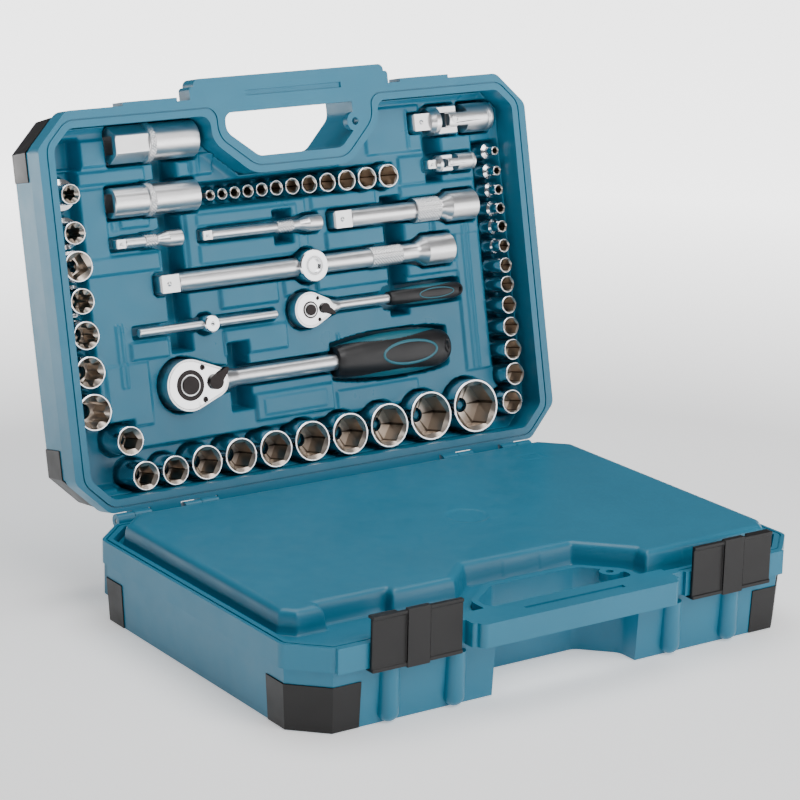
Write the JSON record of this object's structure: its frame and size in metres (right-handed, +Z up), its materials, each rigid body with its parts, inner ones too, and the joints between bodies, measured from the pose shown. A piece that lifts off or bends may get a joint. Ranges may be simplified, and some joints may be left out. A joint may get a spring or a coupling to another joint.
{
  "type": "socket wrench set in case",
  "caption": "Hinged blow-moulded carrying case, open, with ratchets, sockets, extension bars and joints in a fitted tray.",
  "frame": {"origin": "centre of the flat underside of the cover half, which lies on the bench", "axes": "+X to the right along the hinge, +Y towards the hinge, +Z up"},
  "size_m": [0.41, 0.4079, 0.3488],
  "materials": {
    "case_plastic": "fine-grained satin",
    "dark_plastic": "satin",
    "tool_chrome": "satin chrome plate with polished rims",
    "dark_steel": "black oxide",
    "grip_soft_black": "soft satin",
    "grip_plastic": "semi-gloss",
    "holder_rubber": "matte",
    "pin_steel": "drawn wire"
  },
  "bodies": {
    "cover": {"cover_outer_wall": "case_plastic", "cover_inner_wall": "case_plastic", "cover_corner_guards": "dark_plastic", "hinge_pins": "pin_steel"},
    "tray": {"tray_outer_wall": "case_plastic", "tray_tool_liner": "case_plastic", "tray_corner_guards": "dark_plastic", "star_sockets_half_inch": "tool_chrome", "hex_sockets_quarter_inch": "tool_chrome", "deep_sockets_quarter_inch": "tool_chrome"},
    "latch_left": {"latch_left": "dark_plastic"},
    "latch_right": {"latch_right": "dark_plastic"},
    "ratchet_half": {"ratchet_half_body": "tool_chrome", "ratchet_half_cover_plate": "tool_chrome", "ratchet_half_cover_screws": "tool_chrome", "ratchet_half_grip_core": "grip_plastic", "ratchet_half_grip_cover": "grip_soft_black"},
    "ratchet_half_drive": {"ratchet_half_drive_gear": "tool_chrome"},
    "ratchet_half_lever": {"ratchet_half_reversing_lever": "dark_steel", "ratchet_half_pawl": "dark_steel"},
    "ratchet_half_button": {"ratchet_half_release_button": "dark_steel"},
    "ratchet_quarter": {"ratchet_quarter_body": "tool_chrome", "ratchet_quarter_cover_plate": "tool_chrome", "ratchet_quarter_cover_screws": "tool_chrome", "ratchet_quarter_grip_core": "grip_plastic", "ratchet_quarter_grip_cover": "grip_soft_black"},
    "ratchet_quarter_drive": {"ratchet_quarter_drive_gear": "tool_chrome"},
    "ratchet_quarter_lever": {"ratchet_quarter_reversing_lever": "dark_steel", "ratchet_quarter_pawl": "dark_steel"},
    "ratchet_quarter_button": {"ratchet_quarter_release_button": "dark_steel"},
    "extension_bar_half_250": {"extension_bar_half_250": "tool_chrome"},
    "extension_bar_half_125": {"extension_bar_half_125": "tool_chrome"},
    "extension_bar_quarter_100": {"extension_bar_quarter_100": "tool_chrome"},
    "extension_bar_quarter_50": {"extension_bar_quarter_50": "tool_chrome"},
    "tee_head_half": {"tee_head_half": "tool_chrome"},
    "tee_bar_quarter": {"tee_bar_quarter": "tool_chrome"},
    "tee_head_quarter": {"tee_head_quarter": "tool_chrome"},
    "universal_half": {"universal_half_socket_yoke": "tool_chrome"},
    "universal_half_cross": {"universal_half_cross": "tool_chrome"},
    "universal_half_drive": {"universal_half_drive_yoke": "tool_chrome"},
    "universal_quarter": {"universal_quarter_socket_yoke": "tool_chrome"},
    "universal_quarter_cross": {"universal_quarter_cross": "tool_chrome"},
    "universal_quarter_drive": {"universal_quarter_drive_yoke": "tool_chrome"},
    "spark_plug_socket_21": {"spark_plug_socket_21": "tool_chrome", "spark_plug_holder_ring_21": "holder_rubber"},
    "spark_plug_socket_16": {"spark_plug_socket_16": "tool_chrome", "spark_plug_holder_ring_16": "holder_rubber"},
    "socket_hex_12": {"socket_hex_12": "tool_chrome"},
    "socket_hex_13": {"socket_hex_13": "tool_chrome"},
    "socket_hex_14": {"socket_hex_14": "tool_chrome"},
    "socket_hex_17": {"socket_hex_17": "tool_chrome"},
    "socket_hex_18": {"socket_hex_18": "tool_chrome"},
    "socket_hex_19": {"socket_hex_19": "tool_chrome"},
    "socket_hex_21": {"socket_hex_21": "tool_chrome"},
    "socket_hex_22": {"socket_hex_22": "tool_chrome"},
    "socket_hex_24": {"socket_hex_24": "tool_chrome"},
    "socket_hex_27": {"socket_hex_27": "tool_chrome"},
    "socket_hex_30": {"socket_hex_30": "tool_chrome"}
  },
  "joints": [
    {"name": "case_hinge", "type": "hinge", "parent": "cover", "child": "tray", "pos_m": [0, 0.1445, 0.058], "axis": [-1, 0, 0], "range_deg": [-102.3, 0]},
    {"name": "latch_left_slide", "type": "slide", "parent": "cover", "child": "latch_left", "axis": [-1, 0, 0], "range_m": [-0.0054, 0.02]},
    {"name": "latch_right_slide", "type": "slide", "parent": "cover", "child": "latch_right", "axis": [1, 0, 0], "range_m": [-0.0132, 0.013]},
    {"name": "ratchet_half_lift", "type": "slide", "parent": "tray", "child": "ratchet_half", "axis": [0, -0.977, 0.213], "range_m": [0, 0.06]},
    {"name": "ratchet_half_drive_spin", "type": "hinge", "parent": "ratchet_half", "child": "ratchet_half_drive", "pos_m": [-0.0996, 0.18727, 0.13444], "axis": [0, -0.977, 0.213], "continuous": true},
    {"name": "ratchet_half_lever_turn", "type": "hinge", "parent": "ratchet_half", "child": "ratchet_half_lever", "pos_m": [-0.0792, 0.18727, 0.13444], "axis": [0, -0.977, 0.213], "range_deg": [-80, 0]},
    {"name": "ratchet_half_button_press", "type": "slide", "parent": "ratchet_half_drive", "child": "ratchet_half_button", "axis": [0, 0.977, -0.213], "range_m": [0, 0.0016], "stiffness_N_per_m": 400},
    {"name": "ratchet_quarter_lift", "type": "slide", "parent": "tray", "child": "ratchet_quarter", "axis": [0, -0.977, 0.213], "range_m": [0, 0.06]},
    {"name": "ratchet_quarter_drive_spin", "type": "hinge", "parent": "ratchet_quarter", "child": "ratchet_quarter_drive", "pos_m": [0.0069, 0.19311, 0.17534], "axis": [0, -0.977, 0.213], "continuous": true},
    {"name": "ratchet_quarter_lever_turn", "type": "hinge", "parent": "ratchet_quarter", "child": "ratchet_quarter_lever", "pos_m": [0.019, 0.19311, 0.17534], "axis": [0, -0.977, 0.213], "range_deg": [0, 62]},
    {"name": "ratchet_quarter_button_press", "type": "slide", "parent": "ratchet_quarter_drive", "child": "ratchet_quarter_button", "axis": [0, 0.977, -0.213], "range_m": [0, 0.0014], "stiffness_N_per_m": 400},
    {"name": "extension_bar_half_250_lift", "type": "slide", "parent": "tray", "child": "extension_bar_half_250", "axis": [0, -0.977, 0.213], "range_m": [0, 0.06]},
    {"name": "extension_bar_half_125_lift", "type": "slide", "parent": "tray", "child": "extension_bar_half_125", "axis": [0, -0.977, 0.213], "range_m": [0, 0.06]},
    {"name": "extension_bar_quarter_100_lift", "type": "slide", "parent": "tray", "child": "extension_bar_quarter_100", "axis": [0, -0.977, 0.213], "range_m": [0, 0.06]},
    {"name": "extension_bar_quarter_50_lift", "type": "slide", "parent": "tray", "child": "extension_bar_quarter_50", "axis": [0, -0.977, 0.213], "range_m": [0, 0.06]},
    {"name": "tee_head_half_slide", "type": "slide", "parent": "extension_bar_half_250", "child": "tee_head_half", "axis": [1, 0, 0], "range_m": [-0.0026, 0.0026]},
    {"name": "tee_bar_quarter_lift", "type": "slide", "parent": "tray", "child": "tee_bar_quarter", "axis": [0, -0.977, 0.213], "range_m": [0, 0.06]},
    {"name": "tee_head_quarter_slide", "type": "slide", "parent": "tee_bar_quarter", "child": "tee_head_quarter", "axis": [1, 0, 0], "range_m": [-0.0026, 0.0026]},
    {"name": "universal_half_lift", "type": "slide", "parent": "tray", "child": "universal_half", "axis": [0, -0.977, 0.213], "range_m": [0, 0.06]},
    {"name": "universal_half_cross_turn", "type": "hinge", "parent": "universal_half", "child": "universal_half_cross", "pos_m": [0.1495, 0.22272, 0.29938], "axis": [0, -0.977, 0.213], "range_deg": [-4, 4]},
    {"name": "universal_half_drive_bend", "type": "hinge", "parent": "universal_half_cross", "child": "universal_half_drive", "pos_m": [0.1495, 0.22272, 0.29938], "axis": [0, 0.213, 0.977], "range_deg": [0, 40]},
    {"name": "universal_quarter_lift", "type": "slide", "parent": "tray", "child": "universal_quarter", "axis": [0, -0.977, 0.213], "range_m": [0, 0.06]},
    {"name": "universal_quarter_cross_turn", "type": "hinge", "parent": "universal_quarter", "child": "universal_quarter_cross", "pos_m": [0.1435, 0.21295, 0.26865], "axis": [0, -0.977, 0.213], "range_deg": [-4, 4]},
    {"name": "universal_quarter_drive_bend", "type": "hinge", "parent": "universal_quarter_cross", "child": "universal_quarter_drive", "pos_m": [0.1435, 0.21295, 0.26865], "axis": [0, 0.213, 0.977], "range_deg": [0, 40]},
    {"name": "spark_plug_socket_21_lift", "type": "slide", "parent": "tray", "child": "spark_plug_socket_21", "axis": [0, -0.977, 0.213], "range_m": [0, 0.06]},
    {"name": "spark_plug_socket_16_lift", "type": "slide", "parent": "tray", "child": "spark_plug_socket_16", "axis": [0, -0.977, 0.213], "range_m": [0, 0.06]},
    {"name": "socket_hex_12_lift", "type": "slide", "parent": "tray", "child": "socket_hex_12", "axis": [0, -0.977, 0.213], "range_m": [0, 0.06]},
    {"name": "socket_hex_13_lift", "type": "slide", "parent": "tray", "child": "socket_hex_13", "axis": [0, -0.977, 0.213], "range_m": [0, 0.06]},
    {"name": "socket_hex_14_lift", "type": "slide", "parent": "tray", "child": "socket_hex_14", "axis": [0, -0.977, 0.213], "range_m": [0, 0.06]},
    {"name": "socket_hex_17_lift", "type": "slide", "parent": "tray", "child": "socket_hex_17", "axis": [0, -0.977, 0.213], "range_m": [0, 0.06]},
    {"name": "socket_hex_18_lift", "type": "slide", "parent": "tray", "child": "socket_hex_18", "axis": [0, -0.977, 0.213], "range_m": [0, 0.06]},
    {"name": "socket_hex_19_lift", "type": "slide", "parent": "tray", "child": "socket_hex_19", "axis": [0, -0.977, 0.213], "range_m": [0, 0.06]},
    {"name": "socket_hex_21_lift", "type": "slide", "parent": "tray", "child": "socket_hex_21", "axis": [0, -0.977, 0.213], "range_m": [0, 0.06]},
    {"name": "socket_hex_22_lift", "type": "slide", "parent": "tray", "child": "socket_hex_22", "axis": [0, -0.977, 0.213], "range_m": [0, 0.06]},
    {"name": "socket_hex_24_lift", "type": "slide", "parent": "tray", "child": "socket_hex_24", "axis": [0, -0.977, 0.213], "range_m": [0, 0.06]},
    {"name": "socket_hex_27_lift", "type": "slide", "parent": "tray", "child": "socket_hex_27", "axis": [0, -0.977, 0.213], "range_m": [0, 0.06]},
    {"name": "socket_hex_30_lift", "type": "slide", "parent": "tray", "child": "socket_hex_30", "axis": [0, -0.977, 0.213], "range_m": [0, 0.06]}
  ]
}
